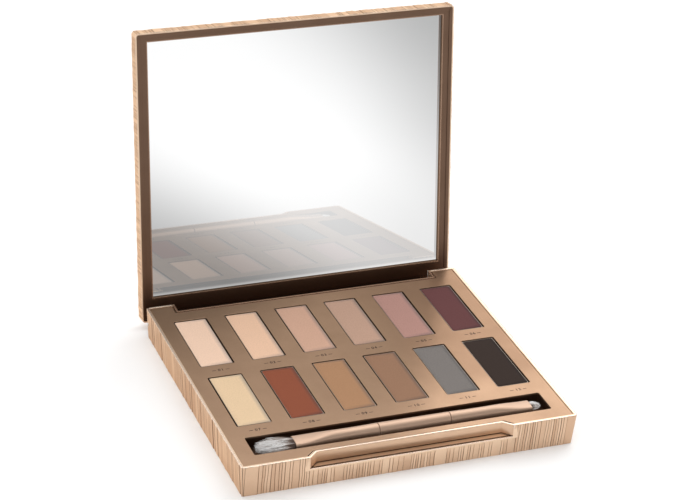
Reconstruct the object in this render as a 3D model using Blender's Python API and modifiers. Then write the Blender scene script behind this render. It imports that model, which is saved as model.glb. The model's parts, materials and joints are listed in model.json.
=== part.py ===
"""Eyeshadow palette: a flat case with a mirrored lid, twelve pressed powders in metal pans and a brush.

Metres, +Z up, width along X, front at -Y, hinge at +Y. The origin is the centre of the base's underside.
The lid stands open on its stop. It is modelled closed, round the hinge axis, and its parent empty opens it.
"""

import math

import bmesh
import bpy

# Case
CASE_WIDTH = 0.175
CASE_DEPTH = 0.157
BASE_HEIGHT = 0.017
CORNER_RADIUS = 0.0016
EDGE_RADIUS = 0.0005
SIDE_DRAFT = 0.0013  # how far each side of the base leans in by its underside
WALL = 0.0012
FLOOR = 0.0013
GAP = 0.0003  # between pieces that are fitted together

# How finely round shapes are divided
CORNER_STEPS = 4
ROUND_SEGMENTS = 24
TONGUE_STEPS = 12
BEVEL_SEGMENTS = 3
SMOOTH_ANGLE = math.radians(35)
MERGE_DISTANCE = 1e-6
FLAT_ANGLE = 0.001

# Thumb notch in the front wall
NOTCH_WIDTH = 0.106
NOTCH_DEPTH = 0.0042
NOTCH_HEIGHT = 0.0064
NOTCH_SLANT = 0.0045

# Tray
TRAY_SINK = 0.0003  # below the rim of the base
TRAY_PLATE = 0.0014
TRAY_EDGE_GAP = 0.0004
WELL_WALL = 0.0008
COLUMNS = 6
SIDE_MARGIN = 0.0094
REAR_MARGIN = 0.0170
COLUMN_GAP = 0.0095
ROW_GAP = 0.0104
POST_RADIUS = 0.0016
POST_CORNER = 0.00158  # just under the radius, so that every side keeps a length

# Trough for the brush
TROUGH_MARGIN = 0.0097  # to each side of the case
TROUGH_FRONT = 0.0095
TROUGH_WIDTH = 0.0157
TROUGH_TO_PANS = 0.0101
TROUGH_CORNER = 0.0008

# Pans and powders
PAN_HEIGHT = 0.0042
PAN_SINK = 0.0003
PAN_GAP = 0.0006  # round each pan in its opening
# How far each pan lies to one side of the middle of its opening
PAN_SHIFTS = (
    -0.00020, -0.00005, 0.00010, -0.00010, -0.00025, -0.00020,
    0.00025, 0.00010, 0.00000, 0.00015, -0.00010, -0.00025,
)
PAN_WALL = 0.0004
PAN_CORNER = 0.0009
PAN_INNER_CORNER = 0.00025
POWDER_SINK = 0.0001
POWDER_EDGE = 0.0004

# Hinge
HINGE_INSET = 0.0025
HINGE_DROP = 0.0085
LID_ANGLE = math.radians(98.2)
EAR_WIDTH = 0.0153
RECESS_DEPTH = 0.0070
RECESS_WALL = 0.0010
RECESS_SIDE_GAP = 0.0008
TONGUE_HALF = 0.0020
TONGUE_SIDE_GAP = 0.0006
KNUCKLE_STEP = 0.0034
KNUCKLE_RISE = 0.0030
PIN_RADIUS = 0.00075
PIN_BORE = 0.00105
PIN_REACH = 0.0075  # into the knuckle
PIN_SINK = 0.0006
BOSS_HALF = 0.0028

# Lid
LID_GAP = 0.0004
LID_ROOF = 0.0016
LID_EDGE_RADIUS = 0.0008
FRAME_SINK = 0.0004
FRAME_THICKNESS = 0.0022
FRAME_LIP = 0.0005
MIRROR_THICKNESS = 0.0018
MIRROR_OVERLAP = 0.0008
MIRROR_SIDE_BORDER = 0.0062
MIRROR_FREE_BORDER = 0.0048
MIRROR_HINGE_BORDER = 0.0132
ADHESIVE_THICKNESS = 0.0005
ADHESIVE_INSET = 0.0030

# Closing magnets
MAGNET_WIDTH = 0.0020
MAGNET_LENGTH = 0.0100
MAGNET_THICKNESS = 0.0018
MAGNET_FROM_FRONT = 0.0120
POCKET_WALL = 0.0008

# Brush
BRUSH_RADIUS = 0.0035
BRUSH_RISE = 0.0013  # top of the handle above the rim of the base
BRUSH_END_ROOM = 0.0024
FERRULE_LENGTH = 0.0434
FERRULE_WALL = 0.0005
SOCKET_DEPTH = 0.0045
FLUFF_LENGTH = 0.0200
FLUFF_HALF = (0.0045, 0.0020)  # half width and half height of the crimped mouth
SHORT_LENGTH = 0.0060
SHORT_HALF = (0.0039, 0.0018)
CORE_RADIUS = 0.0020
CORE_REACH = 0.0200  # into each ferrule
# How far along the ferrule, and how much of the crimp is reached there
FERRULE_SHAPE = ((0, 0), (0.45, 0), (0.62, 0.25), (0.80, 0.8), (0.90, 1), (1, 1))
# How far along the tuft, and its width and height there in parts of the mouth's
FLUFFY_SHAPE = ((0.06, 0.98, 1.05), (0.3, 1.08, 1.4), (0.6, 1.2, 1.62), (0.85, 1.0, 1.35), (1, 0.5, 0.6))
SHORT_SHAPE = ((0.1, 0.96, 0.96), (0.5, 0.96, 0.9), (0.85, 0.75, 0.6), (1, 0.4, 0.3))

# Places that follow from the sizes
FRONT = -CASE_DEPTH / 2
BACK = CASE_DEPTH / 2
TRAY_TOP = BASE_HEIGHT - TRAY_SINK
OPENING_WIDTH = (CASE_WIDTH - 2 * SIDE_MARGIN - (COLUMNS - 1) * COLUMN_GAP) / COLUMNS
TROUGH_BACK = FRONT + TROUGH_FRONT + TROUGH_WIDTH
ROWS_START = TROUGH_BACK + TROUGH_TO_PANS
OPENING_LENGTH = (BACK - REAR_MARGIN - ROWS_START - ROW_GAP) / 2
PITCH_X = OPENING_WIDTH + COLUMN_GAP
PITCH_Y = OPENING_LENGTH + ROW_GAP
BRUSH_Z = BASE_HEIGHT + BRUSH_RISE - BRUSH_RADIUS
TROUGH_FLOOR = BRUSH_Z - BRUSH_RADIUS - GAP
HINGE_Y = BACK - HINGE_INSET
HINGE_Z = BASE_HEIGHT - HINGE_DROP
RECESS_HALF = CASE_WIDTH / 2 - EAR_WIDTH
LID_LOW = BASE_HEIGHT + LID_GAP
FRAME_TOP = LID_LOW + FRAME_SINK + FRAME_THICKNESS
MIRROR_TOP = FRAME_TOP + GAP + MIRROR_THICKNESS
ROOF_LOW = MIRROR_TOP + GAP + ADHESIVE_THICKNESS + GAP
LID_TOP = ROOF_LOW + LID_ROOF
TROUGH_LENGTH = CASE_WIDTH - 2 * TROUGH_MARGIN
BRUSH_LENGTH = TROUGH_LENGTH - 2 * BRUSH_END_ROOM
PAN_CENTRES = [
    ((column - (COLUMNS - 1) / 2) * PITCH_X, ROWS_START + OPENING_LENGTH / 2 + row * PITCH_Y)
    for row in (1, 0)
    for column in range(COLUMNS)
]

# Base colour, roughness and metallic value of each finish
GOLD = ((0.60, 0.42, 0.29), 0.38, 0.7)
DARK_GOLD = ((0.19, 0.11, 0.07), 0.42, 0.6)
TIN = ((0.55, 0.52, 0.49), 0.35, 1.0)
STEEL = ((0.48, 0.48, 0.50), 0.3, 1.0)
SILVERED = ((0.90, 0.91, 0.92), 0.04, 1.0)
FOAM = ((0.85, 0.84, 0.80), 0.9, 0.0)
BRISTLE = ((0.30, 0.24, 0.21), 0.8, 0.0)
SHADES = (
    (0.80, 0.60, 0.46), (0.76, 0.52, 0.37), (0.64, 0.39, 0.28),
    (0.56, 0.36, 0.25), (0.50, 0.28, 0.25), (0.16, 0.07, 0.075),
    (0.80, 0.62, 0.38), (0.31, 0.09, 0.05), (0.43, 0.25, 0.12),
    (0.35, 0.20, 0.12), (0.24, 0.22, 0.20), (0.045, 0.03, 0.027),
)


def start_scene():
    for obj in list(bpy.data.objects):
        bpy.data.objects.remove(obj)
    made = []
    for name in ("eyeshadow_palette", "cutters"):
        collection = bpy.data.collections.new(name)
        bpy.context.scene.collection.children.link(collection)
        made.append(collection)
    return made


def finish_material(name, finish):
    colour, roughness, metallic = finish
    material = bpy.data.materials.new(name)
    material.use_nodes = True
    shader = material.node_tree.nodes["Principled BSDF"]
    shader.inputs["Base Color"].default_value = (*colour, 1)
    shader.inputs["Roughness"].default_value = roughness
    shader.inputs["Metallic"].default_value = metallic
    return material


def add_object(name, mesh, parent=None):
    obj = bpy.data.objects.new(name, mesh)
    parts.objects.link(obj)
    obj.parent = parent
    return obj


def piece(obj, finish):
    obj.data.materials.append(finish_material(obj.name, finish))
    return obj


def mesh_of(bm, name):
    bm.normal_update()
    bmesh.ops.recalc_face_normals(bm, faces=bm.faces)
    mesh = bpy.data.meshes.new(name)
    bm.to_mesh(mesh)
    bm.free()
    return mesh


def box(name, low, high):
    bm = bmesh.new()
    bmesh.ops.create_cube(bm, size=1)
    for vert in bm.verts:
        for axis in range(3):
            vert.co[axis] = high[axis] if vert.co[axis] > 0 else low[axis]
    return add_object(name, mesh_of(bm, name))


def rod(name, radius, centre, low_x, high_x, parent=None):
    """A cylinder along X."""
    bm = bmesh.new()
    bmesh.ops.create_cone(
        bm, cap_ends=True, segments=ROUND_SEGMENTS, radius1=radius, radius2=radius, depth=high_x - low_x
    )
    for vert in bm.verts:
        x, y, z = vert.co
        vert.co = (z + (low_x + high_x) / 2, y + centre[0], x + centre[1])
    return add_object(name, mesh_of(bm, name), parent)


def rounded_rectangle(width, depth, radius, centre=(0, 0)):
    points = []
    for quarter, (sx, sy) in enumerate(((1, 1), (-1, 1), (-1, -1), (1, -1))):
        for step in range(CORNER_STEPS + 1):
            turn = math.pi / 2 * (quarter + step / CORNER_STEPS)
            points.append((
                centre[0] + sx * (width / 2 - radius) + radius * math.cos(turn),
                centre[1] + sy * (depth / 2 - radius) + radius * math.sin(turn),
            ))
    return points


def slab(name, outline, low, high):
    """A flat outline in X and Y, extruded from low to high in Z."""
    curve = bpy.data.curves.new(name, "CURVE")
    curve.dimensions = "2D"
    curve.fill_mode = "BOTH"
    curve.extrude = (high - low) / 2
    spline = curve.splines.new("POLY")
    spline.points.add(len(outline) - 1)
    for point, (x, y) in zip(spline.points, outline):
        point.co = (x, y, 0, 1)
    spline.use_cyclic_u = True
    guide = bpy.data.objects.new(name, curve)
    parts.objects.link(guide)
    bpy.context.view_layer.update()
    evaluated = guide.evaluated_get(bpy.context.evaluated_depsgraph_get())
    bm = bmesh.new()
    bm.from_mesh(bpy.data.meshes.new_from_object(evaluated))
    bpy.data.objects.remove(guide)
    bmesh.ops.remove_doubles(bm, verts=bm.verts, dist=MERGE_DISTANCE)
    bmesh.ops.dissolve_limit(bm, angle_limit=FLAT_ANGLE, verts=bm.verts, edges=bm.edges)
    for vert in bm.verts:
        vert.co.z = high if vert.co.z > 0 else low
    return add_object(name, mesh_of(bm, name))


def loft(name, sections, parent):
    """A closed skin through ellipses across X, each given as x, half width and half height."""
    bm = bmesh.new()
    turns = [2 * math.pi * step / ROUND_SEGMENTS for step in range(ROUND_SEGMENTS)]
    rings = [
        [bm.verts.new((x, half_width * math.cos(t), half_height * math.sin(t))) for t in turns]
        for x, half_width, half_height in sections
    ]
    for ring, following in zip(rings, rings[1:]):
        for step in range(ROUND_SEGMENTS):
            after = (step + 1) % ROUND_SEGMENTS
            bm.faces.new((ring[step], ring[after], following[after], following[step]))
    bm.faces.new(rings[0])
    bm.faces.new(rings[-1])
    return add_object(name, mesh_of(bm, name), parent)


def lean_in(obj):
    """Gives the sides the base's draft, without changing the corner radius."""
    for vert in obj.data.vertices:
        inset = SIDE_DRAFT * (1 - vert.co.z / BASE_HEIGHT)
        vert.co.x -= math.copysign(inset, vert.co.x)
        vert.co.y -= math.copysign(inset, vert.co.y)


def round_edges(obj, width, at_height):
    """Bevels the edges that lie at one height."""
    weights = obj.data.attributes.new("bevel_weight_edge", "FLOAT", "EDGE")
    for edge in obj.data.edges:
        ends = [obj.data.vertices[index].co.z for index in edge.vertices]
        weights.data[edge.index].value = float(all(abs(z - at_height) < MERGE_DISTANCE for z in ends))
    bevel = obj.modifiers.new("round_edges", "BEVEL")
    bevel.limit_method = "WEIGHT"
    bevel.width = width
    bevel.segments = BEVEL_SEGMENTS


def boolean(obj, operation, other):
    modifier = obj.modifiers.new(other.name, "BOOLEAN")
    modifier.operation = operation
    modifier.object = other
    if other.name in parts.objects:
        parts.objects.unlink(other)
        cutters.objects.link(other)
    other.hide_render = True
    other.display_type = "WIRE"


def cut(obj, *others):
    for other in others:
        boolean(obj, "DIFFERENCE", other)


def join(obj, *others):
    for other in others:
        boolean(obj, "UNION", other)


def merged(name, objects):
    """One object holding the meshes of several, as one cutter or one set of added walls."""
    bm = bmesh.new()
    for obj in objects:
        bm.from_mesh(obj.data)
        bpy.data.objects.remove(obj)
    return add_object(name, mesh_of(bm, name))


def finished_mesh(obj):
    """The mesh of an object with its modifiers applied, for copies to share."""
    bpy.context.view_layer.update()
    evaluated = obj.evaluated_get(bpy.context.evaluated_depsgraph_get())
    mesh = bpy.data.meshes.new_from_object(evaluated)
    bpy.data.objects.remove(obj)
    return mesh


def hinge_empty(name, place, angle):
    empty = bpy.data.objects.new(name, None)
    parts.objects.link(empty)
    empty.location = place
    empty.rotation_euler.x = angle
    return empty


def notch_outline(grow):
    """The notch in plan, wider at the front, and running past the front wall."""
    outer = NOTCH_WIDTH / 2 + grow
    inner = outer - NOTCH_SLANT
    depth = FRONT + NOTCH_DEPTH + grow
    slope = NOTCH_SLANT / NOTCH_DEPTH
    before = FRONT if grow else FRONT - NOTCH_DEPTH
    wide = inner + slope * (depth - before)
    return [(-wide, before), (wide, before), (inner, depth), (-inner, depth)]


def hinge_bores(name):
    outer = CASE_WIDTH / 2 + GAP
    inner = RECESS_HALF - TONGUE_SIDE_GAP - KNUCKLE_STEP - PIN_REACH - GAP
    return [
        rod(f"{name}_{side}", PIN_BORE, (HINGE_Y, HINGE_Z), *sorted((sign * outer, sign * inner)))
        for side, sign in (("left", -1), ("right", 1))
    ]


def stop_height():
    """Height of the recess floor: the open lid's tongue stops just above the rear wall."""
    reach = TONGUE_HALF + GAP
    inset = SIDE_DRAFT * HINGE_DROP / BASE_HEIGHT
    outward = HINGE_INSET - inset
    along = (outward - reach * math.cos(LID_ANGLE)) / math.sin(LID_ANGLE)
    return HINGE_Z - reach * math.sin(LID_ANGLE) + along * math.cos(LID_ANGLE)


def make_base_shell():
    shell = slab("base_shell", rounded_rectangle(CASE_WIDTH, CASE_DEPTH, CORNER_RADIUS), 0, BASE_HEIGHT)
    lean_in(shell)
    round_edges(shell, EDGE_RADIUS, BASE_HEIGHT)
    inside = rounded_rectangle(CASE_WIDTH - 2 * WALL, CASE_DEPTH - 2 * WALL, CORNER_RADIUS - WALL)
    cavity = slab("base_cavity", inside, FLOOR, BASE_HEIGHT + WALL)
    lean_in(cavity)
    cut(shell, cavity)
    rim = BASE_HEIGHT - EDGE_RADIUS
    floor = stop_height()
    middle = WALL / 2  # added walls end inside the walls that they join
    join(shell, slab("notch_walls", notch_outline(WALL), BASE_HEIGHT - NOTCH_HEIGHT - WALL, rim))
    recess_front = BACK - RECESS_DEPTH
    half = RECESS_HALF + RECESS_WALL
    back = BACK - SIDE_DRAFT - middle
    join(shell, box("recess_walls", (-half, recess_front - RECESS_WALL, floor - WALL), (half, back, rim)))
    for side, sign in (("left", -1), ("right", 1)):
        ends = sorted((sign * (RECESS_HALF + RECESS_WALL / 2), sign * (CASE_WIDTH / 2 - SIDE_DRAFT)))
        low = (ends[0], HINGE_Y - BOSS_HALF, HINGE_Z - BOSS_HALF)
        high = (ends[1], back, HINGE_Z + BOSS_HALF)
        join(shell, box(f"pin_boss_{side}", low, high))
    low = (-RECESS_HALF, recess_front, floor)
    high = (RECESS_HALF, BACK + WALL, BASE_HEIGHT + WALL)
    notch_floor = BASE_HEIGHT - NOTCH_HEIGHT
    cut(
        shell,
        slab("notch_space", notch_outline(0), notch_floor, BASE_HEIGHT + WALL),
        box("recess_space", low, high),
        *hinge_bores("base_bore"),
    )
    piece(shell, GOLD)


def opening_outline(place, grow=0.0):
    return rounded_rectangle(
        OPENING_WIDTH + 2 * grow, OPENING_LENGTH + 2 * grow, PAN_CORNER + grow, place
    )


def trough_outline(grow=0.0):
    centre = (0, FRONT + TROUGH_FRONT + TROUGH_WIDTH / 2)
    return rounded_rectangle(
        TROUGH_LENGTH + 2 * grow, TROUGH_WIDTH + 2 * grow, TROUGH_CORNER + grow, centre
    )


def magnet_box(name, side, low, high, grow=0.0):
    """A box in plan where a magnet lies, just outside the mirror's edge, grown by a margin."""
    inner = CASE_WIDTH / 2 - MIRROR_SIDE_BORDER + MIRROR_OVERLAP + GAP
    ends = sorted((side * (inner - grow), side * (inner + MAGNET_WIDTH + grow)))
    y = FRONT + MAGNET_FROM_FRONT
    half = MAGNET_LENGTH / 2 + grow
    return box(name, (ends[0], y - half, low), (ends[1], y + half, high))


def make_tray():
    edge = WALL + TRAY_EDGE_GAP
    outline = rounded_rectangle(CASE_WIDTH - 2 * edge, CASE_DEPTH - 2 * edge, CORNER_RADIUS - WALL)
    plate_low = TRAY_TOP - TRAY_PLATE
    inside = TRAY_TOP - TRAY_PLATE / 2  # added walls end inside the plate
    tray = slab("inner_tray", outline, plate_low, TRAY_TOP)
    well_floor = TRAY_TOP - PAN_SINK - PAN_HEIGHT - GAP
    wells = [
        slab(f"well_{index}", opening_outline(place, WELL_WALL), well_floor - WELL_WALL, inside)
        for index, place in enumerate(PAN_CENTRES)
    ]
    join(tray, merged("well_walls", wells))
    join(tray, slab("trough_walls", trough_outline(WELL_WALL), TROUGH_FLOOR - WELL_WALL, inside))
    rear = (ROWS_START + 2 * OPENING_LENGTH + ROW_GAP + BACK - RECESS_DEPTH) / 2
    rows = (TROUGH_BACK + TROUGH_TO_PANS / 2, ROWS_START + OPENING_LENGTH + ROW_GAP / 2, rear)
    posts = []
    for x in (-2 * PITCH_X, 0, 2 * PITCH_X):
        for y in rows:
            outline = rounded_rectangle(2 * POST_RADIUS, 2 * POST_RADIUS, POST_CORNER, (x, y))
            posts.append(slab("post", outline, FLOOR + GAP, inside))
    join(tray, merged("tray_posts", posts))
    openings = [
        slab(f"opening_{index}", opening_outline(place), well_floor, TRAY_TOP + WALL)
        for index, place in enumerate(PAN_CENTRES)
    ]
    cut(tray, merged("pan_openings", openings))
    cut(tray, slab("trough_space", trough_outline(), TROUGH_FLOOR, TRAY_TOP + WALL))
    half = RECESS_HALF + RECESS_WALL + RECESS_SIDE_GAP
    low = (-half, BACK - RECESS_DEPTH - RECESS_WALL - GAP, 0)
    cut(tray, box("recess_clearance", low, (half, BACK, BASE_HEIGHT)))
    cut(tray, slab("notch_clearance", notch_outline(WALL + GAP), 0, BASE_HEIGHT))
    for name, side in (("left", -1), ("right", 1)):
        magnet_low = plate_low - GAP - MAGNET_THICKNESS
        join(tray, magnet_box(f"pocket_{name}", side, magnet_low, inside, GAP + POCKET_WALL))
        cut(tray, magnet_box(f"pocket_space_{name}", side, magnet_low - GAP, plate_low, GAP))
    piece(tray, GOLD)


def make_pans():
    size = (OPENING_WIDTH - 2 * PAN_GAP, OPENING_LENGTH - 2 * PAN_GAP)
    pan = slab("pan_blank", rounded_rectangle(*size, PAN_CORNER - PAN_GAP), 0, PAN_HEIGHT)
    inner = rounded_rectangle(size[0] - 2 * PAN_WALL, size[1] - 2 * PAN_WALL, PAN_INNER_CORNER)
    cut(pan, slab("pan_hollow", inner, PAN_WALL, PAN_HEIGHT + WALL))
    pan_mesh = finished_mesh(pan)
    cake_size = [length - 2 * PAN_WALL - 2 * GAP for length in size]
    cake_top = PAN_HEIGHT - POWDER_SINK
    cake = slab("cake_blank", rounded_rectangle(*cake_size, PAN_INNER_CORNER), PAN_WALL + GAP, cake_top)
    round_edges(cake, POWDER_EDGE, cake_top)
    cake_mesh = finished_mesh(cake)
    pan_mesh.materials.append(finish_material("pan_tin", TIN))
    cake_mesh.materials.append(None)
    for index, ((x, y), shift) in enumerate(zip(PAN_CENTRES, PAN_SHIFTS)):
        place = (x + shift, y, TRAY_TOP - PAN_SINK - PAN_HEIGHT)
        add_object(f"pan_{index + 1:02d}", pan_mesh).location = place
        powder = add_object(f"powder_{index + 1:02d}", cake_mesh)
        powder.location = place
        powder.material_slots[0].link = "OBJECT"
        shade = (SHADES[index], 0.9, 0.0)
        powder.material_slots[0].material = finish_material(f"shade_{index + 1:02d}", shade)


def on_lid(obj):
    """Places a lid piece that is modelled closed and in the case's frame."""
    obj.parent = lid_axis
    obj.location = (0, -HINGE_Y, -HINGE_Z)
    return obj


def make_tongue():
    """The lid's hinge tongue: a plate with a rounded end, extruded across the recess."""
    half_turn = [math.pi * step / TONGUE_STEPS for step in range(TONGUE_STEPS + 1)]
    top = ROOF_LOW + LID_ROOF / 2 - HINGE_Z
    outline = [(-TONGUE_HALF * math.sin(t), TONGUE_HALF * math.cos(t)) for t in half_turn]
    outline += [(top, -TONGUE_HALF), (top, TONGUE_HALF)]
    half = RECESS_HALF - TONGUE_SIDE_GAP
    tongue = slab("hinge_tongue", outline, -half, half)
    for vert in tongue.data.vertices:
        z, y, x = vert.co
        vert.co = (x, y + HINGE_Y, z + HINGE_Z)
    tongue.data.flip_normals()
    return on_lid(tongue)


def make_lid_shell():
    shell = slab("lid_shell", rounded_rectangle(CASE_WIDTH, CASE_DEPTH, CORNER_RADIUS), LID_LOW, LID_TOP)
    round_edges(shell, LID_EDGE_RADIUS, LID_TOP)
    inside = rounded_rectangle(CASE_WIDTH - 2 * WALL, CASE_DEPTH - 2 * WALL, CORNER_RADIUS - WALL)
    cut(on_lid(shell), on_lid(slab("lid_cavity", inside, LID_LOW - WALL, ROOF_LOW)))
    join(shell, make_tongue())
    knuckle = RECESS_HALF - TONGUE_SIDE_GAP - KNUCKLE_STEP
    for side, sign in (("left", -1), ("right", 1)):
        ends = sorted((sign * knuckle, sign * RECESS_HALF))
        low = (ends[0], HINGE_Y - 2 * TONGUE_HALF, HINGE_Z - 2 * TONGUE_HALF)
        high = (ends[1], HINGE_Y + 2 * TONGUE_HALF, HINGE_Z + KNUCKLE_RISE)
        cut(shell, on_lid(box(f"knuckle_step_{side}", low, high)))
    cut(shell, *[on_lid(bore) for bore in hinge_bores("lid_bore")])
    piece(shell, GOLD)


def flare(obj, amount):
    """Spreads the lower face of a cutter, so that it cuts a bevel."""
    middle = sum(vert.co.z for vert in obj.data.vertices) / len(obj.data.vertices)
    centre_y = sum(vert.co.y for vert in obj.data.vertices) / len(obj.data.vertices)
    for vert in obj.data.vertices:
        if vert.co.z < middle:
            vert.co.x += math.copysign(amount, vert.co.x)
            vert.co.y += math.copysign(amount, vert.co.y - centre_y)
    return obj


def mirror_window(grow):
    low = (-CASE_WIDTH / 2 + MIRROR_SIDE_BORDER - grow, FRONT + MIRROR_FREE_BORDER - grow)
    high = (CASE_WIDTH / 2 - MIRROR_SIDE_BORDER + grow, BACK - MIRROR_HINGE_BORDER + grow)
    return low, high


def make_lid_inside():
    edge = WALL + GAP
    outline = rounded_rectangle(CASE_WIDTH - 2 * edge, CASE_DEPTH - 2 * edge, CORNER_RADIUS - WALL)
    frame = on_lid(slab("lid_frame", outline, LID_LOW + FRAME_SINK, FRAME_TOP))
    low, high = mirror_window(0)
    face = LID_LOW + FRAME_SINK
    window = box("mirror_window", (*low, LID_LOW - WALL), (*high, ROOF_LOW))
    bevel = box("window_bevel", (*low, face - FRAME_LIP), (*high, face + FRAME_LIP))
    cut(frame, on_lid(window), on_lid(flare(bevel, 2 * FRAME_LIP)))
    half = RECESS_HALF - TONGUE_SIDE_GAP + GAP
    low = (-half, HINGE_Y - TONGUE_HALF - GAP, LID_LOW - WALL)
    cut(frame, on_lid(box("tongue_clearance", low, (half, BACK, ROOF_LOW))))
    piece(frame, DARK_GOLD)
    low, high = mirror_window(MIRROR_OVERLAP)
    mirror = box("mirror", (*low, FRAME_TOP + GAP), (*high, MIRROR_TOP))
    piece(on_lid(mirror), SILVERED)
    low, high = mirror_window(-ADHESIVE_INSET)
    sheet = box("mirror_adhesive", (*low, MIRROR_TOP + GAP), (*high, ROOF_LOW - GAP))
    piece(on_lid(sheet), FOAM)


def make_magnets():
    base_high = TRAY_TOP - TRAY_PLATE - GAP
    lid_low = FRAME_TOP + GAP
    for name, side in (("left", -1), ("right", 1)):
        low = magnet_box(f"base_magnet_{name}", side, base_high - MAGNET_THICKNESS, base_high)
        high = magnet_box(f"lid_magnet_{name}", side, lid_low, lid_low + MAGNET_THICKNESS)
        piece(low, STEEL)
        piece(on_lid(high), STEEL)


def make_hinge_pins():
    outer = CASE_WIDTH / 2 - SIDE_DRAFT / 2 - PIN_SINK
    inner = RECESS_HALF - TONGUE_SIDE_GAP - KNUCKLE_STEP - PIN_REACH
    for name, side in (("left", -1), ("right", 1)):
        ends = sorted((side * outer, side * inner))
        piece(rod(f"hinge_pin_{name}", PIN_RADIUS, (HINGE_Y, HINGE_Z), *ends), STEEL)


def make_ferrule(name, mouth, seam, outward):
    """A round tube from the seam, crimped flat towards the tuft. outward is the side it points to."""
    sections = [
        (
            seam + outward * FERRULE_LENGTH * along,
            BRUSH_RADIUS + (mouth[0] - BRUSH_RADIUS) * crimp,
            BRUSH_RADIUS + (mouth[1] - BRUSH_RADIUS) * crimp,
        )
        for along, crimp in FERRULE_SHAPE
    ]
    ferrule = loft(name, sections, brush_axis)
    bore = sorted((seam - outward * GAP, seam + outward * (CORE_REACH + GAP)))
    end = seam + outward * FERRULE_LENGTH
    socket = [half - FERRULE_WALL for half in mouth]
    ends = (end - outward * SOCKET_DEPTH, end + outward * GAP)
    cut(
        ferrule,
        rod(f"{name}_bore", CORE_RADIUS + GAP, (0, 0), *bore, brush_axis),
        loft(f"{name}_socket", [(x, *socket) for x in ends], brush_axis),
    )
    return piece(ferrule, GOLD)


def make_tuft(name, mouth, end, outward, length, shape):
    """Bristles as one solid: a root in the socket, and a head that swells and closes in."""
    root = [half - FERRULE_WALL - GAP for half in mouth]
    sections = [(end - outward * (SOCKET_DEPTH - GAP), *root), (end + outward * GAP, *root)]
    for along, width, height in shape:
        x = end + outward * (GAP + (length - GAP) * along)
        sections.append((x, mouth[0] * width, mouth[1] * height))
    piece(loft(name, sections, brush_axis), BRISTLE)


def make_brush():
    fluff_end = -BRUSH_LENGTH / 2 + FLUFF_LENGTH
    short_end = BRUSH_LENGTH / 2 - SHORT_LENGTH
    left_seam = fluff_end + FERRULE_LENGTH
    right_seam = short_end - FERRULE_LENGTH
    make_ferrule("brush_ferrule_fluffy", FLUFF_HALF, left_seam, -1)
    make_ferrule("brush_ferrule_short", SHORT_HALF, right_seam, 1)
    sleeve = rod(
        "brush_sleeve", BRUSH_RADIUS, (0, 0), left_seam + GAP, right_seam - GAP, brush_axis
    )
    cut(sleeve, rod("sleeve_bore", CORE_RADIUS + GAP, (0, 0), left_seam, right_seam, brush_axis))
    piece(sleeve, GOLD)
    core = rod(
        "brush_core", CORE_RADIUS, (0, 0), left_seam - CORE_REACH, right_seam + CORE_REACH, brush_axis
    )
    piece(core, DARK_GOLD)
    make_tuft("brush_bristles_fluffy", FLUFF_HALF, fluff_end, -1, FLUFF_LENGTH, FLUFFY_SHAPE)
    make_tuft("brush_bristles_short", SHORT_HALF, short_end, 1, SHORT_LENGTH, SHORT_SHAPE)


def shade_smooth():
    for obj in parts.objects:
        if obj.type == "MESH":
            obj.data.shade_smooth()
            obj.data.set_sharp_from_angle(angle=SMOOTH_ANGLE)


parts, cutters = start_scene()
lid_axis = hinge_empty("lid_axis", (0, HINGE_Y, HINGE_Z), -LID_ANGLE)
brush_axis = hinge_empty("brush_axis", (0, FRONT + TROUGH_FRONT + TROUGH_WIDTH / 2, BRUSH_Z), 0)
make_base_shell()
make_tray()
make_pans()
make_magnets()
make_hinge_pins()
make_lid_shell()
make_lid_inside()
make_brush()
shade_smooth()
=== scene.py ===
"""The finish and fine detail of an open eyeshadow palette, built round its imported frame. Metres, +Z up."""

import json
import math

import bmesh
import bpy
from mathutils import Matrix, Vector


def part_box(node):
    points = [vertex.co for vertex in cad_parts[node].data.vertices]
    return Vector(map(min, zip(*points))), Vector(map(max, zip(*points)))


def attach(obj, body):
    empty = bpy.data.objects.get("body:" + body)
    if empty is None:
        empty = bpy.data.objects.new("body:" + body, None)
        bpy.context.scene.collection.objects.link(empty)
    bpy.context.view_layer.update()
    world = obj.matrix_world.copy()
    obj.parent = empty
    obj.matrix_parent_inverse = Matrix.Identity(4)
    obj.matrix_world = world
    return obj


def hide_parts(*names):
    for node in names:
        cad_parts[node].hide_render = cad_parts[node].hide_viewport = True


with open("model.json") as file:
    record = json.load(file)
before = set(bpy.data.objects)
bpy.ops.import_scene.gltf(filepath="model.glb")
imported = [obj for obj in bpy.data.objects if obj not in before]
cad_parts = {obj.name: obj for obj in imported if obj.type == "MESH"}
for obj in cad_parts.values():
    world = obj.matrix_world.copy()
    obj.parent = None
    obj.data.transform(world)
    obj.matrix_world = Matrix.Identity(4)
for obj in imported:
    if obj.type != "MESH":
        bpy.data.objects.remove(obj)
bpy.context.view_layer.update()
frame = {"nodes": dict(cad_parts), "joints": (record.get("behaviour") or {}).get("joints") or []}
MM = 0.001


# Studio: a pale floor under soft, even light, with a lamp overhead and one behind on the right. A dark
# flag in front keeps the satin metal deep on the left, and lets it brighten towards the right.
LOOK_AT = Vector((-8.67, -3.5, 83.6)) * MM
DISTANCE = 1161.6 * MM
AZIMUTH, ELEVATION, ROLL = (math.radians(angle) for angle in (-22.62, 28.08, 3.79))
LENS = 121.2
FLOOR_REACH, FLOOR_LEVEL = 4, -0.05 * MM
FLAG_TOWARD = Vector((0.38, -0.635, 0.672))

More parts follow.
